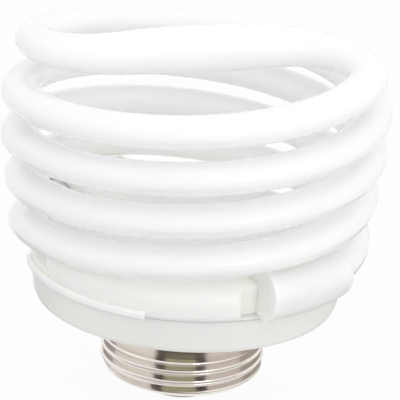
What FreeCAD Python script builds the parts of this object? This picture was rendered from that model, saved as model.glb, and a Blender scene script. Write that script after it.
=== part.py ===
"""Spiral energy saving bulb, base down, in millimetres, +Z up.

The origin is on the lamp's axis, in the middle of the screw shell's straight wall.
The base is stacked down from the shell, the housing, cover and tube up from it.
Pieces that come in pairs lie opposite each other, half a turn apart about Z.
"""
import FreeCAD, Part
import math
import os

V = FreeCAD.Vector
Z = V(0, 0, 1)

# Base
shell_radius = 13.1
shell_wall = 0.35
shell_straight = 10.9
shell_corner = 2.2
shell_turn_in = 1.5
insulator_height = 3.3
insulator_rim = 0.8
insulator_inside = 2.6
insulator_grip = 0.8
insulator_slope = 1.5
contact_radius = 4.6
contact_thickness = 0.7
contact_edge = 0.8
eyelet_radius = 1.5
eyelet_bore = 0.8
eyelet_stand = 0.6
solder_radius = 1.7
solder_drop = 0.6

# Housing
housing_radius = 24.9
housing_taper = 0.6
housing_height = 5.6
housing_wall = 1.2
housing_edge = 1.0
neck_length = 5.0
neck_wall = 1.2
post_radius = 1.6
post_height = 2.7
post_inset = 3.2

# Cover
cover_height = 5.1
cover_wall = 1.2
shoulder_radius = 2.6
spigot_depth = 2.0
spigot_wall = 1.0
lip_height = 1.1
lip_reach = 0.8
lip_root = 0.5
lip_bevel = 0.3
lip_start_angle = -168.0
lip_sweep = 65.0
notch_sweep = 6.5
notch_depth = 1.3
notch_floor = 0.3
notch_edge = 0.9

# Tube holders
holder_mouth_angle = -30.0
holder_sweep = 32.5
holder_wall = 0.9
holder_lift = 1.0
holder_end_wall = 1.1
tube_sink = 0.6
root_reach = 9.0
root_height = 2.4
trough_gap = 0.3
trough_sweep = 60.0
chamber_length = 3.2
plug_length = 1.4
channel_radius = 1.2
channel_reach = 3.2
channel_cover = 1.0
lead_spread = 0.9
lead_offset = 0.4

# Spiral tube
tube_width = 6.2
tube_height = 4.9
bridge_width = 7.2
bridge_height = 7.5
bridge_angle = 19.6
curl_radius = 9.9
coil_overhang = 1.6
coil_swell = 2.0
swell_turns = 0.7
coil_taper = 1.55
coil_pitch = 13.75
whole_turns = 2
level_sweep = 30.0
end_dip = 1.3
dip_sweep = 60.0
ring_count = 12
skin_count = 8

# Ballast
board_thickness = 1.4
capacitor_length = 13.0
capacitor_edge = 0.6
choke_length = 11.0
winding_room = 1.0
winding_round = 1.0
toroid_radius = 4.5
toroid_bore = 2.4
toroid_thickness = 2.8
wrap_outside = 0.3
wrap_inside = 0.5
wrap_gap = 0.1
wrap_width = 2.2
transistor_width = 4.6
transistor_depth = 3.4
transistor_height = 3.6
diode_radius = 1.1
diode_length = 4.0
film_width = 7.0
film_depth = 2.8
film_height = 3.4
film_round = 0.5
resistor_radius = 0.9
resistor_length = 3.6
filter_radius = 1.6
filter_length = 6.0
filter_waist = 4.2
fuse_radius = 1.5
fuse_length = 6.5
fuse_drop = 1.5
fuse_edge = 0.5
pin_width = 1.0
pin_height = 3.0
pin_inset = 5.2
wire_radius = 0.25
lead_hole = 1.0
lead_end = 0.8
lead_bend = 1.5
lead_drop = 2.5
shell_lead_angle = -61.0
neck_room = 0.7
part_room = 1.0

# Clearances
fit_gap = 0.15
seat_gap = 0.1

# Heights and radii that follow from the sizes above
shell_top = shell_straight / 2
shell_base = -shell_straight / 2 - shell_corner
shell_mouth_radius = shell_radius - shell_corner - shell_turn_in
insulator_tip_radius = contact_radius + insulator_rim
insulator_base = shell_base - insulator_height
contact_base = insulator_base - contact_thickness
eyelet_top = shell_base + shell_wall + seat_gap + insulator_inside + eyelet_stand
housing_base = shell_top + seat_gap
seam = housing_base + housing_height
cover_base = seam + seat_gap
cover_top = cover_base + cover_height
cover_ceiling = cover_top - cover_wall
floor = housing_base + housing_wall
neck_radius = shell_radius - shell_wall - fit_gap
neck_bore = neck_radius - neck_wall
housing_foot_radius = housing_radius - housing_taper
coil_radius = housing_radius + coil_overhang
board_base = floor + post_height + seat_gap
board_top = board_base + board_thickness
spigot_radius = housing_foot_radius - housing_wall - fit_gap
board_radius = spigot_radius - spigot_wall - fit_gap
tube_end_height = cover_top - tube_sink
half_pitch_step = coil_pitch / (2 * math.pi)


def smooth(u):
    """Ease from 0 to 1 with level ends."""
    u = min(max(u, 0.0), 1.0)
    return u * u * (3 - 2 * u)


def polar(radius, degrees, z=0.0):
    a = math.radians(degrees)
    return V(radius * math.cos(a), radius * math.sin(a), z)


def half_turn(shape):
    other = shape.copy()
    other.rotate(V(0, 0, 0), Z, 180)
    return other


def cylinder(radius, z0, z1, x=0.0, y=0.0):
    return Part.makeCylinder(radius, z1 - z0, V(x, y, z0))


def box(width, depth, height, x, y, z):
    """A block centred on x and y, standing on z."""
    return Part.makeBox(width, depth, height, V(x - width / 2, y - depth / 2, z))


def lathe(points, start=0.0, sweep=360.0):
    """Turn a closed outline of (radius, z) points about Z."""
    corners = [V(radius, 0, z) for radius, z in points]
    face = Part.Face(Part.makePolygon(corners + corners[:1]))
    solid = face.revolve(V(0, 0, 0), Z, sweep)
    if start:
        solid.rotate(V(0, 0, 0), Z, start)
    return solid


def place(shape, degrees):
    shape.rotate(V(0, 0, 0), Z, degrees)
    return shape


def wire_along(points, radius):
    """A bent round wire through the points, with mitred bends."""
    corners = [V(*p) for p in points]
    spine = Part.makePolygon(corners)
    ring = Part.Wire(Part.makeCircle(radius, corners[0], corners[1] - corners[0]))
    return spine.makePipeShell([ring], True, False, 1)


def save(name, shape):
    shape.exportStep(os.path.join("parts", name + ".step"))


# Spiral tube

def coil_radius_at(turn):
    """Radius of the wound centre line, from the bridge down."""
    return coil_radius + coil_swell * smooth(turn / swell_turns) - coil_taper * turn


arc_centre_radius = coil_radius - curl_radius
bridge_half = math.sqrt(arc_centre_radius ** 2 - curl_radius ** 2)
curl_lead = math.degrees(math.atan2(curl_radius, bridge_half))
curl_sweep = 90.0 + curl_lead
coil_start_angle = bridge_angle - curl_lead
end_radius = coil_radius_at(whole_turns + (coil_start_angle - holder_mouth_angle) / 360.0)
holder_end_angle = holder_mouth_angle - holder_sweep
degrees_per_mm = math.degrees(1.0 / end_radius)
bore_end_angle = holder_end_angle + holder_end_wall * degrees_per_mm
tube_end_angle = bore_end_angle + chamber_length * degrees_per_mm
coil_sweep = 360.0 * whole_turns + coil_start_angle - holder_mouth_angle


def coil_height(angle_above_mouth):
    """Height over the holder: level inside it, then out of the dip and into the pitch."""
    if angle_above_mouth <= 0:
        return 0.0
    out_of_dip = end_dip * smooth(angle_above_mouth / dip_sweep)
    w = angle_above_mouth / level_sweep
    if w >= 1:
        return out_of_dip + half_pitch_step * math.radians(angle_above_mouth - level_sweep / 2)
    return out_of_dip + half_pitch_step * math.radians(level_sweep) * (w ** 3 - w ** 4 / 2)


coil_top = tube_end_height + coil_height(coil_sweep)
rise_length = bridge_half + curl_radius * math.radians(curl_sweep)
rise_slope = half_pitch_step / coil_radius
bridge_centre_height = coil_top + rise_slope * rise_length / 2


def bridge_drop(run):
    """Drop below the bridge centre after a run along the bridge and curl."""
    w = run / rise_length
    return rise_slope * rise_length * (w ** 3 - w ** 4 / 2)


def leg_stations():
    """Centre, heading and share of the bridge's section, from the middle to one end."""
    stations = []
    for i in range(4):
        run = bridge_half * i / 4.0
        stations.append((polar(run, bridge_angle), bridge_angle, run))
    corner = polar(bridge_half, bridge_angle) + polar(curl_radius, bridge_angle - 90)
    for i in range(9):
        turned = curl_sweep * i / 9.0
        heading = bridge_angle - turned
        run = bridge_half + curl_radius * math.radians(turned)
        stations.append((corner + polar(curl_radius, heading + 90), heading, run))
    path = []
    for point, heading, run in stations:
        point.z = bridge_centre_height - bridge_drop(run)
        path.append((point, heading, 1 - smooth(run / (0.9 * rise_length))))
    steps = int(round(coil_sweep / 20.0))
    for i in range(steps + 1):
        swept = coil_sweep * i / steps
        angle = coil_start_angle - swept
        height = tube_end_height + coil_height(coil_sweep - swept)
        path.append((polar(coil_radius_at(swept / 360.0), angle, height), angle - 90, 0.0))
    inside = holder_mouth_angle - tube_end_angle
    for share in (0.5, 1.0):
        angle = holder_mouth_angle - inside * share
        path.append((polar(end_radius, angle, tube_end_height), angle - 90, 0.0))
    return path


def ring_poles(point, heading, ahead, share):
    """Control points of the closed oval across the tube at one station."""
    half_width = (tube_width + (bridge_width - tube_width) * share) / 2
    half_height = (tube_height + (bridge_height - tube_height) * share) / 2
    side = polar(1.0, heading - 90)
    up = side.cross(ahead)
    up.normalize()
    reach = 3.0 / (2 + math.cos(2 * math.pi / ring_count))
    poles = []
    for i in range(ring_count):
        a = 2 * math.pi * i / ring_count
        out = side * (half_width * math.cos(a)) + up * (half_height * math.sin(a))
        poles.append(point + out * reach)
    return poles


def skin(rings, runs):
    """Closed smooth surface through the rings, with both ends capped."""
    rows = []
    for column in zip(*rings):
        line = Part.BSplineCurve()
        line.interpolate(Points=list(column), Parameters=runs)
        rows.append(line.getPoles())
    knots = line.getKnots()
    mults = line.getMultiplicities()
    around = [float(i) for i in range(ring_count + 1)]
    surface = Part.BSplineSurface()
    surface.buildFromPolesMultsKnots(rows, [1] * (ring_count + 1), mults, around, knots, True, False, 3, 3)
    bounds = [runs[-1] * i / skin_count for i in range(skin_count + 1)]
    faces = [surface.toShape(0.0, ring_count, a, b) for a, b in zip(bounds, bounds[1:])]
    for side, end in ((faces[0], bounds[0]), (faces[-1], bounds[-1])):
        rim = surface.vIso(end).value(0.0)
        for edge in side.Edges:
            if edge.isClosed() and edge.distToShape(Part.Vertex(rim))[0] < 1e-4:
                faces.append(Part.Face(Part.Wire(edge)))
    shell = Part.Shell(faces)
    shell.sewShape()
    return Part.Solid(shell)


def make_spiral_tube():
    """Carry the oval along one leg, over the bridge and down the other leg."""
    leg = leg_stations()
    other = [(V(-p.x, -p.y, p.z), h, s) for p, h, s in leg[:0:-1]]
    path = other + leg
    rings = []
    runs = []
    for i, (point, heading, share) in enumerate(path):
        before = path[max(i - 1, 0)][0]
        after = path[min(i + 1, len(path) - 1)][0]
        rise = (after - before).z / math.hypot(after.x - before.x, after.y - before.y)
        ahead = polar(1.0, heading) + Z * rise
        rings.append(ring_poles(point, heading, ahead, share))
        runs.append(runs[-1] + (point - before).Length if runs else 0.0)
    return skin(rings, runs)


# Top cover

def oval_arc(centre, half_width, half_height, start, end):
    """Part of an upright oval in the XZ plane, from one angle to another."""
    points = []
    for i in range(9):
        a = math.radians(start + (end - start) * i / 8.0)
        points.append(V(centre[0] + half_width * math.cos(a), 0, centre[1] + half_height * math.sin(a)))
    curve = Part.BSplineCurve()
    curve.interpolate(points)
    return curve.toShape()


holder_half_width = tube_width / 2 + fit_gap + holder_wall
holder_half_height = tube_height / 2 + fit_gap + holder_wall
holder_inner_radius = end_radius - holder_half_width


def make_holder():
    """Half-round holder over the end of one leg. Its foot is on the seam and lifts to the mouth."""
    centre = (end_radius, tube_end_height)
    foot = housing_radius
    belly = oval_arc((foot, tube_end_height), end_radius + holder_half_width - foot,
                     tube_end_height - cover_base, -90, 0)
    crown = oval_arc(centre, holder_half_width, holder_half_height, 0, 180)
    outline = [(holder_inner_radius, tube_end_height), (holder_inner_radius, cover_base),
               (foot, cover_base)]
    edges = [belly, crown]
    for a, b in zip(outline, outline[1:]):
        edges.append(Part.makeLine(V(a[0], 0, a[1]), V(b[0], 0, b[1])))
    face = Part.Face(Part.Wire(Part.__sortEdges__(edges)))
    holder = face.revolve(V(0, 0, 0), Z, holder_sweep)
    side = 2 * housing_radius
    under = Part.makeBox(side, side, side, V(0, 0, -side))
    run = end_radius * math.sin(math.radians(holder_sweep))
    under.rotate(V(0, 0, 0), V(1, 0, 0), math.degrees(math.atan2(holder_lift, run)))
    under.translate(V(0, 0, cover_base))
    return place(holder.cut(under), holder_end_angle)


def make_bore():
    """Room for one end of the tube, its plug and its leads."""
    half_width = tube_width / 2 + fit_gap
    half_height = tube_height / 2 + fit_gap
    upper = oval_arc((end_radius, tube_end_height), half_width, half_height, 0, 180)
    under = oval_arc((end_radius, tube_end_height), half_width, half_height, 180, 360)
    face = Part.Face(Part.Wire([upper, under]))
    sweep = holder_mouth_angle - bore_end_angle + 1
    return place(face.revolve(V(0, 0, 0), Z, sweep), bore_end_angle)


def make_trough():
    """Round-bottomed groove in the cover, for the tube where it leaves its holder."""
    half_width = tube_width / 2 + trough_gap
    bed = oval_arc((end_radius, tube_end_height), half_width, tube_height / 2 + trough_gap, 180, 360)
    top = tube_end_height + tube_height
    corners = [V(end_radius + half_width, 0, tube_end_height), V(end_radius + half_width, 0, top),
               V(end_radius - half_width, 0, top), V(end_radius - half_width, 0, tube_end_height)]
    face = Part.Face(Part.Wire([bed] + Part.makePolygon(corners).Edges))
    return place(face.revolve(V(0, 0, 0), Z, trough_sweep), holder_mouth_angle)


chamber_angle = bore_end_angle + (chamber_length - plug_length) / 2 * degrees_per_mm


def channel_ends():
    """Start and end of the slanting hole that takes the leads inside."""
    top = polar(end_radius - tube_width / 4, chamber_angle, tube_end_height - tube_height / 4)
    low_height = cover_ceiling - channel_radius - channel_cover
    low = polar(holder_inner_radius - channel_reach, chamber_angle, low_height)
    return top, low


def sector(inner, outer, low, high, start, sweep):
    return lathe([(inner, low), (outer, low), (outer, high), (inner, high)], start, sweep)


def make_root():
    """Sloping web on the inner side of a holder, from its crown down to the cover."""
    foot = cover_top - cover_wall / 2
    crown = holder_inner_radius + holder_wall
    slope = [(holder_inner_radius - root_reach, foot), (crown, foot), (crown, cover_top + root_height),
             (holder_inner_radius - root_reach, cover_top)]
    return lathe(slope, holder_end_angle, holder_sweep)


def notch_end_edges(cover):
    """Outer upright edges of the raised ring where it ends at the two notches."""
    ends = []
    for edge in cover.Edges:
        points = [v.Point for v in edge.Vertexes]
        middle = edge.valueAt((edge.FirstParameter + edge.LastParameter) / 2)
        for point in (polar(housing_radius, holder_end_angle - notch_sweep),
                      polar(housing_radius, holder_end_angle - notch_sweep + 180)):
            across = V(-point.y, point.x, 0)
            flat = [abs(p.dot(across)) < 1e-3 * housing_radius for p in points + [middle]]
            outside = middle.dot(point) > housing_radius * (housing_radius - notch_depth + 0.05)
            if len(points) == 2 and all(flat) and outside and abs(points[0].z - points[1].z) > 0.1:
                ends.append(edge)
    return ends


def make_cover():
    blank = cylinder(housing_radius, cover_base, cover_top)
    rim = [e for e in blank.Edges if e.BoundBox.ZMin > cover_top - 1e-6]
    blank = blank.makeFillet(min(shoulder_radius, cover_height * 0.6), rim)
    spigot = cylinder(spigot_radius, cover_base - spigot_depth, cover_base + spigot_wall / 2)
    spigot_hole = cylinder(spigot_radius - spigot_wall, cover_base - spigot_depth, cover_base)
    inside = cylinder(holder_inner_radius - cover_wall / 2, cover_base - spigot_depth, cover_ceiling)
    notch = sector(housing_radius - notch_depth, housing_radius + 1, cover_base + notch_floor,
                   cover_top + 1, holder_end_angle - notch_sweep, notch_sweep)
    cover = blank.fuse(spigot).cut([spigot_hole, inside])
    lip = lathe([(housing_radius - lip_root, cover_base), (housing_radius + lip_reach, cover_base),
                 (housing_radius + lip_reach, cover_base + lip_height - lip_bevel),
                 (housing_radius + lip_reach - lip_bevel, cover_base + lip_height),
                 (housing_radius - lip_root, cover_base + lip_height)],
                lip_start_angle, lip_sweep)
    holder = make_holder()
    root = make_root()
    top, low = channel_ends()
    channel = Part.makeCylinder(channel_radius, (low - top).Length, top, low - top)
    cover = cover.cut([notch, half_turn(notch)])
    cover = cover.makeFillet(notch_edge, notch_end_edges(cover))
    trough = make_trough()
    cover = cover.cut([trough, half_turn(trough)])
    for piece in (lip, holder, root):
        cover = cover.fuse([piece, half_turn(piece)])
    for cut in (make_bore(), channel):
        cover = cover.cut([cut, half_turn(cut)])
    return cover.removeSplitter()


# Housing

def make_housing():
    outline = [(housing_radius, seam), (housing_foot_radius, housing_base + housing_edge),
               (housing_foot_radius - housing_edge * 0.3, housing_base + housing_edge * 0.3),
               (housing_foot_radius - housing_edge, housing_base), (neck_radius, housing_base),
               (neck_radius, housing_base - neck_length),
               (neck_bore, housing_base - neck_length), (neck_bore, floor),
               (housing_foot_radius - housing_wall, floor), (housing_radius - housing_wall, seam)]
    cup = lathe(outline)
    posts = []
    for degrees in (30, 150, 270):
        spot = polar(board_radius - post_inset, degrees)
        posts.append(cylinder(post_radius, floor - 0.2, board_base - seat_gap, spot.x, spot.y))
    return cup.fuse(posts).removeSplitter()


# Base

def make_shell():
    inner = shell_radius - shell_wall
    turned_in = []
    for share_in, share_up in ((0.0, 1.0), (0.18, 0.42), (0.48, 0.12), (1.0, 0.0)):
        turned_in.append((share_in * shell_corner, share_up * shell_corner))
    outer = [(shell_radius - x, shell_base + z) for x, z in turned_in]
    inside = [(inner - x, shell_base + shell_wall + z) for x, z in turned_in[::-1]]
    outline = [(shell_radius, shell_top)] + outer
    outline += [(shell_mouth_radius, shell_base), (shell_mouth_radius, shell_base + shell_wall)]
    outline += inside + [(inner, shell_top)]
    return lathe(outline)


def make_insulator():
    neck = shell_mouth_radius - fit_gap
    top = shell_base + shell_wall + seat_gap
    bore = eyelet_radius + fit_gap
    outline = [(bore, insulator_base + seat_gap), (insulator_tip_radius, insulator_base + seat_gap),
               (neck, shell_base - seat_gap), (neck, top), (neck + insulator_grip, top),
               (neck + insulator_grip, top + insulator_inside / 2),
               (neck - insulator_slope, top + insulator_inside), (bore, top + insulator_inside)]
    return lathe(outline)


def make_contact():
    outline = [(eyelet_bore, contact_base + seat_gap), (contact_radius - contact_edge, contact_base),
               (contact_radius, contact_base + contact_thickness * 0.6),
               (contact_radius, insulator_base), (eyelet_radius, insulator_base),
               (eyelet_radius, eyelet_top), (eyelet_bore, eyelet_top)]
    return lathe(outline)


def make_solder():
    rim = contact_base - seat_gap / 2
    tip = contact_base - solder_drop
    return lathe([(0, tip), (solder_radius * 0.45, tip + solder_drop * 0.1),
                  (solder_radius * 0.85, tip + solder_drop * 0.5), (solder_radius, rim), (0, rim)])


# Ballast

def on_board(width, depth, height, x, y):
    return box(width, depth, height, x, y, board_top + seat_gap)


def make_board():
    board = cylinder(board_radius, board_base, board_top)
    holes = []
    for degrees in pin_angles():
        spot = polar(pin_ring, degrees)
        holes.append(box(pin_width + 2 * fit_gap, pin_width + 2 * fit_gap, 4 * board_thickness,
                         spot.x, spot.y, board_base - board_thickness))
    holes.append(cylinder(fuse_radius / 2, board_base - 1, board_top + 1, fuse_spot.x, fuse_spot.y))
    holes.append(cylinder(lead_hole, board_base - 1, board_top + 1, shell_lead_spot.x, shell_lead_spot.y))
    return board.cut(holes)


def pin_angles():
    """Two pins by each holder."""
    return [bore_end_angle + turn for turn in (4, 14, 184, 194)]


pin_ring = holder_inner_radius - pin_inset
capacitor_radius = neck_bore / 2 - neck_room
choke_width = neck_bore - part_room
choke_depth = neck_bore * 0.79
capacitor_spot = V(-neck_bore / 2, 0.0, 0)
choke_spot = V(neck_bore / 2, 0.0, 0)
fuse_spot = V(0.0, fuse_radius + 2 * neck_room - neck_bore, 0)
shell_lead_spot = polar(neck_bore - part_room, shell_lead_angle)


def on_disc(across, along):
    """A place on the board, in shares of its radius."""
    return V(across * board_radius, along * board_radius, 0)


toroid_spot = on_disc(-0.05, 0.56)
filter_spot = on_disc(0.14, -0.77)
transistor_spot = on_disc(0.33, 0.32)
diode_spot = on_disc(-0.3, -0.3)
resistor_spot = on_disc(0.15, -0.12)
resonance_spot = on_disc(-0.58, 0.14)
blocking_spot = on_disc(0.48, 0.57)


def make_capacitor():
    top = board_base - seat_gap
    can = cylinder(capacitor_radius, top - capacitor_length, top, capacitor_spot.x, capacitor_spot.y)
    rim = [e for e in can.Edges if e.Curve.TypeId == "Part::GeomCircle"]
    return can.makeChamfer(capacitor_edge, rim)


def choke_block(width, depth, height, drop):
    top = board_base - seat_gap - drop
    return box(width, depth, height, choke_spot.x, choke_spot.y, top - height)


def upright_edges(body):
    return [e for e in body.Edges if abs(e.tangentAt(e.FirstParameter).z) > 0.9]


winding_length = choke_length * 0.5
core_leg = choke_width * 0.16
core_middle_width = choke_width * 0.22
core_middle_depth = choke_depth * 0.5


def make_choke_core():
    core = choke_block(choke_width, choke_depth * 0.6, choke_length, 0)
    window = choke_block(choke_width - 2 * core_leg, choke_depth, winding_length + winding_room,
                         (choke_length - winding_length - winding_room) / 2)
    middle = choke_block(core_middle_width, core_middle_depth, choke_length, 0)
    return core.cut(window).fuse(middle).removeSplitter()


def make_choke_winding():
    drop = (choke_length - winding_length) / 2
    outer = choke_block(choke_width - 2 * core_leg - 2 * fit_gap, choke_depth, winding_length, drop)
    outer = outer.makeFillet(winding_round, upright_edges(outer))
    hole = choke_block(core_middle_width + 2 * fit_gap, core_middle_depth + 2 * fit_gap,
                       winding_length + 2, drop - 1)
    return outer.cut(hole)


toroid_base = board_top + seat_gap


def make_toroid():
    z0 = toroid_base + wrap_outside
    z1 = z0 + toroid_thickness - 2 * wrap_outside
    ring = cylinder(toroid_radius, z0, z1, toroid_spot.x, toroid_spot.y)
    hole = cylinder(toroid_bore, z0 - 1, z0 + toroid_thickness, toroid_spot.x, toroid_spot.y)
    return ring.cut(hole)


def make_toroid_windings():
    """Three short sleeves of wire round the ring."""
    z0 = toroid_base
    z1 = toroid_base + toroid_thickness
    x, y = toroid_spot.x, toroid_spot.y
    outer = cylinder(toroid_radius + wrap_outside, z0, z1, x, y)
    outer = outer.cut(cylinder(toroid_bore - wrap_inside, z0 - 1, z1 + 1, x, y))
    room = cylinder(toroid_radius + wrap_gap, z0 + 2 * wrap_gap, z1 - 2 * wrap_gap, x, y)
    room = room.cut(cylinder(toroid_bore - fit_gap, z0 - 1, z1 + 1, x, y))
    sleeve = outer.cut(room)
    pieces = []
    for degrees in (0, 120, 240):
        corner = V(0, -wrap_width / 2, z0 - toroid_thickness)
        wedge = Part.makeBox(2 * toroid_radius, wrap_width, 3 * toroid_thickness, corner)
        wedge.rotate(V(0, 0, 0), Z, degrees)
        wedge.translate(toroid_spot)
        pieces.append(sleeve.common(wedge))
    return Part.Compound(pieces)


def make_transistors():
    pieces = []
    for i in range(2):
        x = transistor_spot.x + i * (transistor_width + part_room)
        body = on_board(transistor_width, transistor_depth, transistor_height, x, transistor_spot.y)
        back = [e for e in upright_edges(body) if e.BoundBox.YMin > transistor_spot.y]
        pieces.append(body.makeChamfer(transistor_depth * 0.24, back))
    return Part.Compound(pieces)


def lying(radius, length, x, y, degrees=0.0):
    """A round component lying on the board."""
    z = board_top + seat_gap + radius
    body = Part.makeCylinder(radius, length, V(-length / 2, 0, z), V(1, 0, 0))
    body.rotate(V(0, 0, 0), Z, degrees)
    body.translate(V(x, y, 0))
    return body


def make_diodes():
    bodies = []
    for i in range(4):
        x = diode_spot.x - (i // 2) * (diode_length + part_room)
        y = diode_spot.y - (i % 2) * (2 * diode_radius + part_room)
        bodies.append(lying(diode_radius, diode_length, x, y))
    return Part.Compound(bodies)


def make_resistors():
    across = resistor_length + part_room
    along = 2 * resistor_radius + part_room
    bodies = []
    for i in range(6):
        x = resistor_spot.x + (i // 2) * across
        y = resistor_spot.y - (i % 2) * along
        bodies.append(lying(resistor_radius, resistor_length, x, y))
    return Part.Compound(bodies)


def film_capacitor(spot):
    body = on_board(film_width, film_depth, film_height, spot.x, spot.y)
    return body.makeFillet(film_round, upright_edges(body))


def make_filter_choke():
    """A drum core: two flanges on a waist."""
    flange = (filter_length - filter_waist) / 2
    offset = (filter_length - flange) / 2
    pieces = []
    for side in (-1, 1):
        pieces.append(lying(filter_radius, flange, filter_spot.x + side * offset, filter_spot.y))
    waist = lying(filter_radius * 0.8, filter_waist + flange, filter_spot.x, filter_spot.y)
    waist.translate(V(0, 0, filter_radius * 0.2))
    return waist.fuse(pieces)


def make_fuse():
    top = board_base - fuse_drop
    body = cylinder(fuse_radius, top - fuse_length, top, fuse_spot.x, fuse_spot.y)
    rim = [e for e in body.Edges if e.Curve.TypeId == "Part::GeomCircle"]
    body = body.makeChamfer(fuse_edge, rim)
    lead = cylinder(wire_radius, top - 0.2, board_top + 0.6, fuse_spot.x, fuse_spot.y)
    return body.fuse(lead)


def make_wrap_pins():
    pins = []
    for degrees in pin_angles():
        spot = polar(pin_ring, degrees)
        pins.append(box(pin_width, pin_width, pin_height + board_thickness, spot.x, spot.y, board_base))
    return Part.Compound(pins)


def lead_starts():
    """Where the two wires of the first leg leave its end, and their place across the channel."""
    spots = []
    for side in (-0.5, 0.5):
        radius = end_radius + side * lead_spread - lead_offset
        spots.append((polar(radius, tube_end_angle, tube_end_height - lead_offset), side * lead_spread))
    return spots


def make_filament_leads():
    top, low = channel_ends()
    ahead = polar(1.0, tube_end_angle - 90)
    leads = []
    for (start, side), degrees in zip(lead_starts(), pin_angles()[:2][::-1]):
        across = polar(-side, chamber_angle - 90)
        bend = polar(math.hypot(start.x, start.y), chamber_angle, start.z) + across
        pin = polar(pin_ring, degrees)
        reach = polar(pin_width * 0.75 + wire_radius + fit_gap, degrees)
        last = V(pin.x, pin.y, board_top + pin_height * 0.6) + reach
        path = (start + ahead * seat_gap, bend, top + across, low + across, last)
        leads.append(wire_along([tuple(p) for p in path], wire_radius))
    return Part.Compound(leads + [half_turn(w) for w in leads])


def make_cement():
    """One plug behind each end of the tube, with a hole for each lead."""
    half_width = tube_width / 2 + fit_gap / 2
    half_height = tube_height / 2 + fit_gap / 2
    upper = oval_arc((end_radius, tube_end_height), half_width, half_height, 0, 180)
    under = oval_arc((end_radius, tube_end_height), half_width, half_height, 180, 360)
    face = Part.Face(Part.Wire([upper, under]))
    sweep = plug_length * degrees_per_mm
    plug = face.revolve(V(0, 0, 0), Z, sweep)
    plug.rotate(V(0, 0, 0), Z, tube_end_angle - sweep - seat_gap * degrees_per_mm)
    ahead = polar(1.0, tube_end_angle - 90)
    for start, side in lead_starts():
        hole = Part.makeCylinder(wire_radius + fit_gap, plug_length + 2, start - ahead, ahead)
        plug = plug.cut(hole)
    return Part.Compound([plug, half_turn(plug)])


def make_shell_lead():
    """From the board, down past the neck and out against the shell."""
    wall = shell_radius - shell_wall - wire_radius - fit_gap
    foot = housing_base - neck_length - part_room
    stops = ((neck_bore - part_room, board_top + lead_end), (neck_bore - part_room, foot),
             (wall, foot - lead_bend), (wall, foot - 2 * lead_bend))
    return wire_along([tuple(polar(r, shell_lead_angle, z)) for r, z in stops], wire_radius)


def make_contact_lead():
    """From the fuse, under the capacitor and choke, into the eyelet."""
    top = board_base - fuse_drop - fuse_length
    path = [(fuse_spot.x, fuse_spot.y, top - 0.2), (fuse_spot.x, fuse_spot.y, top - lead_drop),
            (0, 0, eyelet_top + eyelet_stand), (0, 0, contact_base + part_room)]
    return wire_along(path, wire_radius)


def build():
    os.makedirs("parts", exist_ok=True)
    save("spiral_tube", make_spiral_tube())
    save("top_cover", make_cover())
    save("ballast_housing", make_housing())
    save("screw_shell", make_shell())
    save("base_insulator", make_insulator())
    save("centre_contact", make_contact())
    save("contact_solder", make_solder())
    save("circuit_board", make_board())
    save("bulk_capacitor", make_capacitor())
    save("choke_core", make_choke_core())
    save("choke_winding", make_choke_winding())
    save("drive_toroid", make_toroid())
    save("drive_windings", make_toroid_windings())
    save("switch_transistors", make_transistors())
    save("rectifier_diodes", make_diodes())
    save("small_resistors", make_resistors())
    save("resonance_capacitor", film_capacitor(resonance_spot))
    save("blocking_capacitor", film_capacitor(blocking_spot))
    save("filter_choke", make_filter_choke())
    save("fuse_resistor", make_fuse())
    save("wrap_pins", make_wrap_pins())
    save("filament_leads", make_filament_leads())
    save("tube_cement", make_cement())
    save("shell_lead", make_shell_lead())
    save("contact_lead", make_contact_lead())


build()
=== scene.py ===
"""Looks of the spiral energy saving bulb, in metres, in the frame of the CAD model.

The lamp stands on the tip of its base. Its solids keep their shape and get their finishes
here. The rolled screw shell is a new surface, because its thread is only plain wall in CAD.
"""
import math

import bpy
import numpy as np
from mathutils import Matrix, Vector


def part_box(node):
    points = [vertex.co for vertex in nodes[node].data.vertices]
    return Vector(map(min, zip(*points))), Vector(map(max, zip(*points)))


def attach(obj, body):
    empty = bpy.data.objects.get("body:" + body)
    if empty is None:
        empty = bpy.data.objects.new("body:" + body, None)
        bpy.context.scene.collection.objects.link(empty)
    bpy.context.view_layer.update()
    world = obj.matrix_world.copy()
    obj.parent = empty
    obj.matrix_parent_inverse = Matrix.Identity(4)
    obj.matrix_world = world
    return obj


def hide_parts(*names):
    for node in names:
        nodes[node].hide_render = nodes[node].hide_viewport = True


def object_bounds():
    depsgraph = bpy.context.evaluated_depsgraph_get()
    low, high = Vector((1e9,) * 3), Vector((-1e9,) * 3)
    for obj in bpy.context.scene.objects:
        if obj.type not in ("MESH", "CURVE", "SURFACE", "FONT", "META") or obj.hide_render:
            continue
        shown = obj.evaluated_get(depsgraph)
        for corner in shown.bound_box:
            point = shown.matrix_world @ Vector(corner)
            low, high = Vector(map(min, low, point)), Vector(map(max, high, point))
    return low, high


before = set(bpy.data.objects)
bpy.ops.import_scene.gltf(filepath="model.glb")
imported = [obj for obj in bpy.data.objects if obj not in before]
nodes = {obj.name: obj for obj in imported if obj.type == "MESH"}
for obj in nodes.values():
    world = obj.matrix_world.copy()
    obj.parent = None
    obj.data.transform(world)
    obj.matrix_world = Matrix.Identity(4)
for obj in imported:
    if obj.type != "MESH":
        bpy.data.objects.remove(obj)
cad_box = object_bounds()
scene = bpy.context.scene
MM = 0.001

# Camera
aim_point = Vector((1.45 * MM, 0.0, 21.14 * MM))
camera_distance = 350.0 * MM
camera_elevation = 21.15
camera_roll = 3.6
lens_mm = 200.0
sensor_mm = 36.0
nearest = 10.0 * MM
farthest = 20.0

# Screw shell, as in the part
shell_corner = 2.2 * MM
shell_wall = 0.35 * MM
shell_mouth = 9.4 * MM

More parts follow.
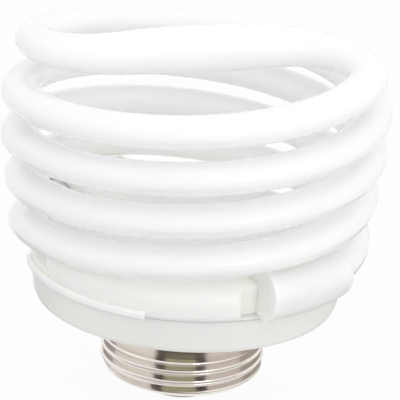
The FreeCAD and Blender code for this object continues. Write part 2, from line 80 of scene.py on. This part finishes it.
# Its rolled thread
thread_pitch = 1.75 * MM
thread_depth = 0.32 * MM
thread_first_crest = -1.45 * MM
thread_fade = 1.3 * MM
thread_lead = 0.9 * MM
corner_fade = 0.9
ridge_sharpness = 4
shell_steps_round = 232
shell_steps_along = 180
shell_steps_bend = 30


def aim_camera():
    """Camera on the line of sight, rolled about it by camera_roll."""
    e = math.radians(camera_elevation)
    forward = Vector((0.0, math.cos(e), -math.sin(e)))
    right = Vector((1.0, 0.0, 0.0))
    up = right.cross(forward)
    r = math.radians(camera_roll)
    right_rolled = right * math.cos(r) + up * math.sin(r)
    up_rolled = up * math.cos(r) - right * math.sin(r)
    place = aim_point - forward * camera_distance
    data = bpy.data.cameras.new("camera")
    data.lens = lens_mm
    data.sensor_width = sensor_mm
    data.clip_start = nearest
    data.clip_end = farthest
    camera = bpy.data.objects.new("camera", data)
    scene.collection.objects.link(camera)
    turn = Matrix((right_rolled, up_rolled, -forward)).transposed()
    camera.matrix_world = Matrix.Translation(place) @ turn.to_4x4()
    scene.camera = camera


# Meshes

def closed_grid(name, points):
    """A mesh from an array of points (round, along, 3) that closes both ways.

    Each face joins point (i, j) with (i+1, j), (i+1, j+1) and (i, j+1), indices taken modulo
    the grid's size, so there is no seam and no pole.
    """
    rows, columns = points.shape[:2]
    i, j = np.meshgrid(np.arange(rows), np.arange(columns), indexing="ij")
    i2, j2 = (i + 1) % rows, (j + 1) % columns
    quads = np.stack([i * columns + j, i2 * columns + j, i2 * columns + j2, i * columns + j2], axis=-1)
    quads = quads.reshape(-1, 4)
    mesh = bpy.data.meshes.new(name)
    mesh.vertices.add(rows * columns)
    mesh.vertices.foreach_set("co", points.reshape(-1))
    mesh.loops.add(quads.size)
    mesh.loops.foreach_set("vertex_index", quads.reshape(-1).astype(np.int32))
    mesh.polygons.add(len(quads))
    mesh.polygons.foreach_set("loop_start", np.arange(0, quads.size, 4, dtype=np.int32))
    mesh.polygons.foreach_set("use_smooth", np.ones(len(quads), dtype=bool))
    mesh.update(calc_edges=True)
    mesh.validate()
    piece = bpy.data.objects.new(name, mesh)
    scene.collection.objects.link(piece)
    return piece


def ease(u):
    """3 u^2 - 2 u^3, with u kept between 0 and 1."""
    u = np.clip(u, 0.0, 1.0)
    return u * u * (3 - 2 * u)


def make_screw_shell():
    """The shell's wall, rolled into a right-hand thread.

    The plain outline runs down the straight wall and round the turned-in corner, a quarter
    circle, to the mouth. The radius falls short of it by
    depth * (1 - (0.5 + 0.5 cos(2 pi phase)) ** sharpness). The phase is the height above the
    first crest in pitches, less the share of a turn round the axis from the front. The depth
    fades to nothing at the plain collar above and round the corner below. The inside wall is
    the same outline less the wall, so the loop closes.
    """
    low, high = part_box("screw_shell")
    crest, top, bottom = high[0], high[2], low[2]
    straight_end = bottom + shell_corner
    z_straight = np.linspace(top, straight_end, shell_steps_along)
    bend = np.linspace(0.0, math.pi / 2, shell_steps_bend)[1:]
    z_bend = straight_end - shell_corner * np.sin(bend)
    r_bend = crest - shell_corner + shell_corner * np.cos(bend)
    z_out = np.concatenate([z_straight, z_bend, [bottom]])
    r_out = np.concatenate([np.full(shell_steps_along, crest), r_bend, [shell_mouth]])
    depth = thread_depth * ease((thread_first_crest + thread_lead - z_out) / thread_fade)
    depth = depth * ease((z_out - bottom) / (shell_corner * corner_fade))
    angle = np.linspace(0.0, 2 * math.pi, shell_steps_round, endpoint=False)[:, None]
    turn = (angle + math.pi / 2) / (2 * math.pi)
    phase = (z_out[None, :] - thread_first_crest) / thread_pitch - turn
    wave = 1 - (0.5 + 0.5 * np.cos(2 * math.pi * phase)) ** ridge_sharpness
    outer = r_out[None, :] - depth[None, :] * wave
    z_out = np.broadcast_to(z_out, outer.shape)
    inner = np.maximum(outer[:, ::-1] - shell_wall, shell_mouth)
    z_in = np.maximum(z_out[:, ::-1], bottom + shell_wall)
    radius = np.concatenate([outer, inner], axis=1)
    height = np.concatenate([z_out, z_in], axis=1)
    points = np.stack([radius * np.cos(angle), radius * np.sin(angle), height], axis=-1)
    piece = closed_grid("threaded_shell", points[:, ::-1])
    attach(piece, "root")
    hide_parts("screw_shell")
    return piece


# Finishes

# The darker and the lighter tone of each
glass_tones = (0.957, 0.959, 0.975), (0.971, 0.973, 0.984)
cover_tones = (0.965, 0.958, 0.888), (0.975, 0.97, 0.902)
housing_tones = (0.868, 0.87, 0.838), (0.88, 0.882, 0.85)
nickel_tones = (0.8, 0.75, 0.705), (0.89, 0.845, 0.8)
insulator_tones = (0.014, 0.014, 0.018), (0.035, 0.034, 0.036)
brass_tones = (0.6, 0.45, 0.22), (0.72, 0.56, 0.3)
solder_tones = (0.5, 0.5, 0.52), (0.62, 0.62, 0.64)
board_tones = (0.3, 0.18, 0.06), (0.38, 0.24, 0.09)
sleeve_tones = (0.012, 0.018, 0.04), (0.02, 0.03, 0.06)
ferrite_tones = (0.03, 0.03, 0.034), (0.055, 0.055, 0.06)
copper_tones = (0.25, 0.08, 0.03), (0.62, 0.26, 0.1)
epoxy_tones = (0.018, 0.018, 0.02), (0.03, 0.03, 0.032)
film_tones = (0.26, 0.035, 0.018), (0.34, 0.05, 0.025)
wire_tones = (0.56, 0.56, 0.58), (0.66, 0.66, 0.67)
cement_tones = (0.62, 0.6, 0.55), (0.72, 0.7, 0.65)
resistor_tones = (0.3, 0.08, 0.03), (0.62, 0.48, 0.3)
clear_coat_tint = (0.978, 0.979, 0.983, 1.0)


class Finish:
    """One node material: a Principled shader and the patterns that feed it."""

    def __init__(self, name, tones, roughness, **sockets):
        self.material = bpy.data.materials.new(name)
        self.material.use_nodes = True
        self.tree = self.material.node_tree
        self.shader = self.tree.nodes["Principled BSDF"]
        self.dark, self.light = tones
        self.set("Base Color", (*self.light, 1.0))
        self.set("Roughness", roughness)
        for socket, value in sockets.items():
            self.set(socket.replace("_", " "), value)
        self.place = self.node("ShaderNodeTexCoord").outputs["Object"]

    def node(self, kind, **values):
        made = self.tree.nodes.new(kind)
        for key, value in values.items():
            if key in made.inputs:
                made.inputs[key].default_value = value
            else:
                setattr(made, key, value)
        return made

    def link(self, a, b):
        self.tree.links.new(a, b)

    def set(self, socket, value):
        self.shader.inputs[socket].default_value = value

    def stretched(self, scale):
        """Object coordinates, each axis multiplied by its own number."""
        mapping = self.node("ShaderNodeMapping")
        mapping.inputs["Scale"].default_value = scale
        self.link(self.place, mapping.inputs["Vector"])
        return mapping.outputs["Vector"]

    def noise(self, scale, detail=2.0, vector=None):
        """Cloudy pattern, with so many clouds to the metre."""
        made = self.node("ShaderNodeTexNoise", Scale=scale, Detail=detail)
        self.link(vector or self.place, made.inputs["Vector"])
        return made.outputs["Fac"]

    def tint(self, factor, *stops):
        """Base colour from a ramp of stops, each a place and a colour."""
        ramp = self.node("ShaderNodeValToRGB")
        elements = ramp.color_ramp.elements
        while len(elements) < len(stops):
            elements.new(0.5)
        for element, (at, colour) in zip(elements, stops):
            element.position = at
            element.color = (*colour, 1.0)
        self.link(factor, ramp.inputs["Fac"])
        self.link(ramp.outputs["Color"], self.shader.inputs["Base Color"])

    def shade(self, factor, low=0.3, high=0.7):
        """Base colour that runs from the darker to the lighter tone between low and high."""
        self.tint(factor, (low, self.dark), (high, self.light))

    def rough(self, factor, low, high):
        """Roughness that runs from low to high with the factor."""
        made = self.node("ShaderNodeMapRange")
        made.inputs["To Min"].default_value = low
        made.inputs["To Max"].default_value = high
        self.link(factor, made.inputs["Value"])
        self.link(made.outputs["Result"], self.shader.inputs["Roughness"])

    def bump(self, height, distance, strength):
        """Relief of so many metres, from a pattern."""
        made = self.node("ShaderNodeBump", Distance=distance, Strength=strength)
        self.link(height, made.inputs["Height"])
        self.link(made.outputs["Normal"], self.shader.inputs["Normal"])

    def dress(self, *objects):
        for o in objects:
            o.data.materials.clear()
            o.data.materials.append(self.material)


def coated_glass():
    """White powder behind clear glass: a soft pale ground under a hard clear coat."""
    f = Finish("coated_glass", glass_tones, roughness=0.45, Coat_Weight=1.0, Coat_Roughness=0.03,
               Coat_IOR=1.5, Specular_IOR_Level=0.2, Subsurface_Weight=1.0, Subsurface_Scale=0.006)
    f.set("Subsurface Radius", (1.0, 1.0, 1.0))
    f.set("Coat Tint", clear_coat_tint)
    f.shade(f.noise(scale=140.0, detail=3.0))
    return f


def ivory_plastic(name, tones):
    """Moulded plastic with a fine spark-eroded grain and a faint cloudiness."""
    f = Finish(name, tones, roughness=0.38, Subsurface_Weight=1.0, Subsurface_Scale=0.0012)
    f.set("Subsurface Radius", (1.0, 1.0, 0.8))
    f.shade(f.noise(scale=90.0))
    f.rough(f.noise(scale=2500.0), low=0.3, high=0.46)
    f.bump(f.noise(scale=5200.0), distance=0.00001, strength=0.35)
    return f


def rolled_nickel():
    """Nickel plate with the faint lines that rolling leaves round the shell."""
    f = Finish("rolled_nickel", nickel_tones, roughness=0.2, Metallic=1.0)
    lines = f.noise(scale=55.0, detail=4.0, vector=f.stretched((1.0, 1.0, 40.0)))
    f.shade(lines)
    f.rough(lines, low=0.13, high=0.27)
    waves = f.noise(scale=260.0, detail=3.0, vector=f.stretched((1.0, 1.0, 14.0)))
    f.bump(waves, distance=0.00002, strength=0.3)
    return f


def black_glass():
    """Dark fired glass with a slightly uneven face."""
    f = Finish("black_glass", insulator_tones, roughness=0.12, Coat_Weight=0.3, Coat_Roughness=0.05)
    f.shade(f.noise(scale=400.0))
    f.bump(f.noise(scale=600.0), distance=0.00004, strength=0.4)
    return f


def metal(name, tones, roughness, scale=500.0):
    """Bright metal, its gloss and tone a little cloudy."""
    f = Finish(name, tones, roughness, Metallic=1.0)
    f.shade(f.noise(scale))
    f.rough(f.noise(scale * 3), low=roughness * 0.8, high=roughness * 1.3)
    f.bump(f.noise(scale * 2), distance=0.00002, strength=0.3)
    return f


def dull(name, tones, roughness, scale=700.0, grain=0.00004, **sockets):
    """A plain moulded, fired or dipped body with a fine grain."""
    f = Finish(name, tones, roughness, **sockets)
    f.shade(f.noise(scale, detail=4.0), low=0.32, high=0.68)
    f.bump(f.noise(scale * 4), distance=grain, strength=0.5)
    return f


def banded(f, scale, direction):
    """Even bands across the object, from dark to light."""
    bands = f.node("ShaderNodeTexWave", Scale=scale, wave_type="BANDS", bands_direction=direction)
    f.link(f.place, bands.inputs["Vector"])
    return bands.outputs["Fac"]


def wound_copper():
    """Enamelled wire, laid turn by turn: fine bands up the winding."""
    f = Finish("wound_copper", copper_tones, roughness=0.28, Metallic=0.7, Coat_Weight=0.4)
    turns = banded(f, scale=1500.0, direction="Z")
    f.shade(turns, low=0.1, high=0.6)
    f.bump(turns, distance=0.0001, strength=0.8)
    return f


def banded_resistor():
    """Pale lacquer with rings of colour along the body."""
    f = Finish("banded_resistor", resistor_tones, roughness=0.4)
    rings = banded(f, scale=260.0, direction="X")
    f.tint(rings, (0.2, f.light), (0.8, f.light), (0.9, f.dark))
    f.bump(f.noise(scale=2500.0), distance=0.00003, strength=0.4)
    return f


def dress_lamp(shell):
    """Gives every solid its finish, and the threaded shell the nickel."""
    coated_glass().dress(nodes["spiral_tube"])
    ivory_plastic("ivory_cover", cover_tones).dress(nodes["top_cover"])
    ivory_plastic("ivory_housing", housing_tones).dress(nodes["ballast_housing"])
    rolled_nickel().dress(shell)
    black_glass().dress(nodes["base_insulator"])
    metal("contact_brass", brass_tones, roughness=0.25).dress(nodes["centre_contact"])
    metal("soft_solder", solder_tones, roughness=0.35).dress(nodes["contact_solder"])
    dull("phenolic_board", board_tones, roughness=0.5).dress(nodes["circuit_board"])
    dull("capacitor_sleeve", sleeve_tones, roughness=0.25, Coat_Weight=0.3).dress(
        nodes["bulk_capacitor"])
    dull("grey_ferrite", ferrite_tones, roughness=0.6).dress(
        nodes["choke_core"], nodes["drive_toroid"], nodes["filter_choke"])
    wound_copper().dress(nodes["choke_winding"], nodes["drive_windings"])
    dull("moulded_epoxy", epoxy_tones, roughness=0.45).dress(
        nodes["switch_transistors"], nodes["rectifier_diodes"])
    banded_resistor().dress(nodes["small_resistors"], nodes["fuse_resistor"])
    dull("dipped_film", film_tones, roughness=0.22, Coat_Weight=0.5).dress(
        nodes["resonance_capacitor"], nodes["blocking_capacitor"])
    metal("tinned_wire", wire_tones, roughness=0.3, scale=900.0).dress(
        nodes["wrap_pins"], nodes["filament_leads"], nodes["shell_lead"], nodes["contact_lead"])
    dull("white_cement", cement_tones, roughness=0.9, scale=1200.0, grain=0.00012).dress(
        nodes["tube_cement"])


# Studio

floor_half = 3.0
floor_tone = (0.7, 0.7, 0.7, 1.0)
white = (1.0, 1.0, 1.0, 1.0)
floor_white_share = 0.95
matt = 0.9
room_strength = 1.0
card_inner = 17.0 * MM
card_steps = 12
lamp_middle = (0.0, 0.0, 0.02)
diffuse_bounces = 12
all_bounces = 16

# Cards just above the floor, seen by mirror rays alone: name, direction and half width in
# degrees, reach and lift in millimetres, colour
studio_cards = (
    ("front_card", -90.0, 29.0, 75.0, 1.0, (0.05, 0.04, 0.025)),
    ("olive_card", -90.0, 17.0, 33.5, 1.5, (0.4, 0.38, 0.24)),
    ("right_card", -38.0, 23.0, 75.0, 1.0, (0.66, 0.6, 0.56)),
    ("far_right_card", 25.0, 40.0, 75.0, 1.0, (0.42, 0.37, 0.33)),
    ("left_card", -149.0, 30.0, 75.0, 1.0, (0.84, 0.79, 0.75)),
    ("far_left_card", 163.0, 18.0, 75.0, 1.0, (0.4, 0.37, 0.35)),
)

# Name, place and size in metres, power in watts, colour
softboxes = (
    ("front_softbox", (0.28, -0.48, 0.2), (0.2, 0.08), 0.4, (1.0, 1.0, 1.0)),
    ("right_softbox", (0.55, -0.35, 0.5), (0.5, 0.5), 0.18, (1.0, 1.0, 1.0)),
    ("left_softbox", (-0.6, -0.25, 0.35), (0.4, 0.5), 0.08, (0.96, 0.97, 1.0)),
)


def flat_piece(name, corners, faces, material):
    mesh = bpy.data.meshes.new(name)
    mesh.from_pydata(corners, [], faces)
    mesh.materials.append(material)
    piece = bpy.data.objects.new(name, mesh)
    scene.collection.objects.link(piece)
    return piece


def floor_material():
    """Pale floor that looks white to the camera and keeps a light shadow."""
    material = bpy.data.materials.new("pale_floor")
    material.use_nodes = True
    tree = material.node_tree
    shader = tree.nodes["Principled BSDF"]
    shader.inputs["Base Color"].default_value = floor_tone
    shader.inputs["Roughness"].default_value = matt
    shader.inputs["Specular IOR Level"].default_value = 0.0
    glow = tree.nodes.new("ShaderNodeEmission")
    glow.inputs["Strength"].default_value = 1.0
    path = tree.nodes.new("ShaderNodeLightPath")
    either = tree.nodes.new("ShaderNodeMath")
    either.operation = "MAXIMUM"
    tree.links.new(path.outputs["Is Camera Ray"], either.inputs[0])
    tree.links.new(path.outputs["Is Glossy Ray"], either.inputs[1])
    share = tree.nodes.new("ShaderNodeMath")
    share.operation = "MULTIPLY"
    share.inputs[1].default_value = floor_white_share
    tree.links.new(either.outputs[0], share.inputs[0])
    mix = tree.nodes.new("ShaderNodeMixShader")
    tree.links.new(share.outputs[0], mix.inputs["Fac"])
    tree.links.new(shader.outputs["BSDF"], mix.inputs[1])
    tree.links.new(glow.outputs["Emission"], mix.inputs[2])
    tree.links.new(mix.outputs["Shader"], tree.nodes["Material Output"].inputs["Surface"])
    return material


def card_material(name, colour):
    material = bpy.data.materials.new(name)
    material.use_nodes = True
    shader = material.node_tree.nodes["Principled BSDF"]
    shader.inputs["Base Color"].default_value = (*colour, 1.0)
    shader.inputs["Roughness"].default_value = matt
    return material


def make_studio():
    ground = cad_box[0].z
    a = floor_half
    flat_piece("floor", [(-a, -a, ground), (a, -a, ground), (a, a, ground), (-a, a, ground)],
               [(0, 1, 2, 3)], floor_material())
    for name, middle, half, reach, lift, colour in studio_cards:
        corners = []
        for degrees in np.linspace(middle - half, middle + half, card_steps + 1):
            t = math.radians(degrees)
            for radius in (card_inner, reach * MM):
                corners.append((radius * math.cos(t), radius * math.sin(t), ground + lift * MM))
        faces = [(2 * k, 2 * k + 1, 2 * k + 3, 2 * k + 2) for k in range(card_steps)]
        card = flat_piece(name, corners, faces, card_material(name, colour))
        card.visible_camera = False
        card.visible_diffuse = False
        card.visible_shadow = False
        card.visible_transmission = False


def softbox(name, place, size, power, colour):
    data = bpy.data.lights.new(name, "AREA")
    data.shape = "RECTANGLE"
    data.size, data.size_y = size
    data.energy = power
    data.color = colour
    lamp = bpy.data.objects.new(name, data)
    scene.collection.objects.link(lamp)
    lamp.location = place
    lamp.rotation_euler = (Vector(lamp_middle) - Vector(place)).to_track_quat("-Z", "Y").to_euler()
    lamp.visible_camera = False


def light_room():
    """White room of even light, and three weak softboxes for the gloss."""
    world = bpy.data.worlds.new("room")
    scene.world = world
    world.use_nodes = True
    back = world.node_tree.nodes["Background"]
    back.inputs["Color"].default_value = white
    back.inputs["Strength"].default_value = room_strength
    for name, place, size, power, colour in softboxes:
        softbox(name, place, size, power, colour)


aim_camera()
threaded_shell = make_screw_shell()
dress_lamp(threaded_shell)
make_studio()
light_room()
scene.view_settings.view_transform = "Standard"
scene.cycles.diffuse_bounces = diffuse_bounces
scene.cycles.max_bounces = all_bounces
